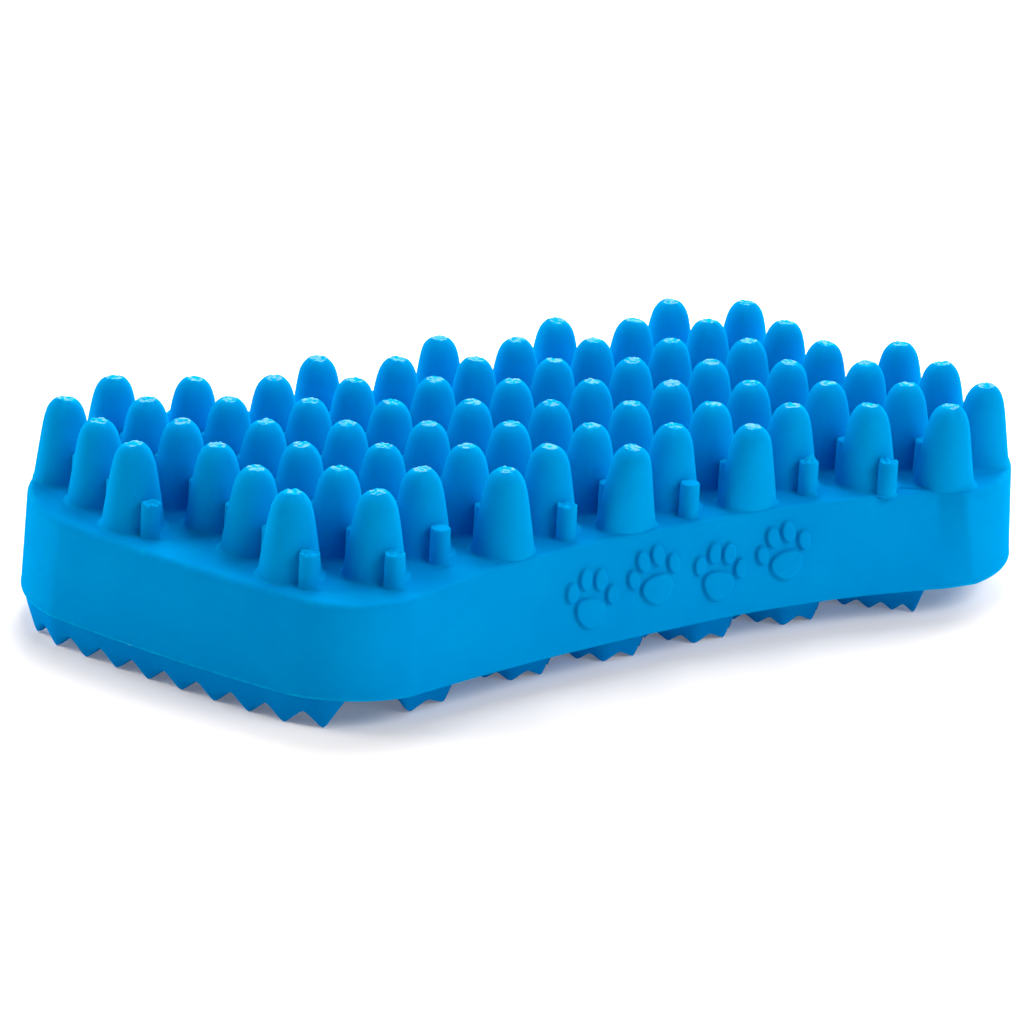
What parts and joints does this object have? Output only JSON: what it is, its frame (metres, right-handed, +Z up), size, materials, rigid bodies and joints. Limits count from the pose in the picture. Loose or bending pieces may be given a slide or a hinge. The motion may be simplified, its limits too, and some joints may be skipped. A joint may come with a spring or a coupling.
{
  "type": "grooming brush",
  "caption": "Soft silicone palm brush for pets: tapered bristles on one side, low toothed ridges on the other, and a waist on each long side for the fingers.",
  "frame": {"origin": "below the middle of the brush, on the surface that its ridge teeth stand on", "axes": "+X along the brush, +Y across it away from the wall with the raised paws, +Z up from the ridges to the bristles"},
  "size_m": [0.1318, 0.067, 0.0287],
  "materials": {
    "slab_silicone": "satin moulded silicone",
    "bristle_silicone": "satin moulded silicone, pale where the tips were trimmed",
    "ridge_silicone": "satin moulded silicone"
  },
  "bodies": {
    "root": {"body_slab": "slab_silicone", "bristle_column_01": "bristle_silicone", "bristle_column_02": "bristle_silicone", "bristle_column_03": "bristle_silicone", "bristle_column_04": "bristle_silicone", "bristle_column_05": "bristle_silicone", "bristle_column_06": "bristle_silicone", "bristle_column_07": "bristle_silicone", "bristle_column_08": "bristle_silicone", "bristle_column_09": "bristle_silicone", "bristle_column_10": "bristle_silicone", "bristle_column_11": "bristle_silicone", "bristle_column_12": "bristle_silicone", "bristle_column_13": "bristle_silicone", "wave_ridge_01": "ridge_silicone", "wave_ridge_02": "ridge_silicone", "wave_ridge_03": "ridge_silicone", "wave_ridge_04": "ridge_silicone", "wave_ridge_05": "ridge_silicone", "wave_ridge_06": "ridge_silicone", "end_ridge_left": "ridge_silicone", "end_ridge_right": "ridge_silicone"}
  },
  "joints": []
}
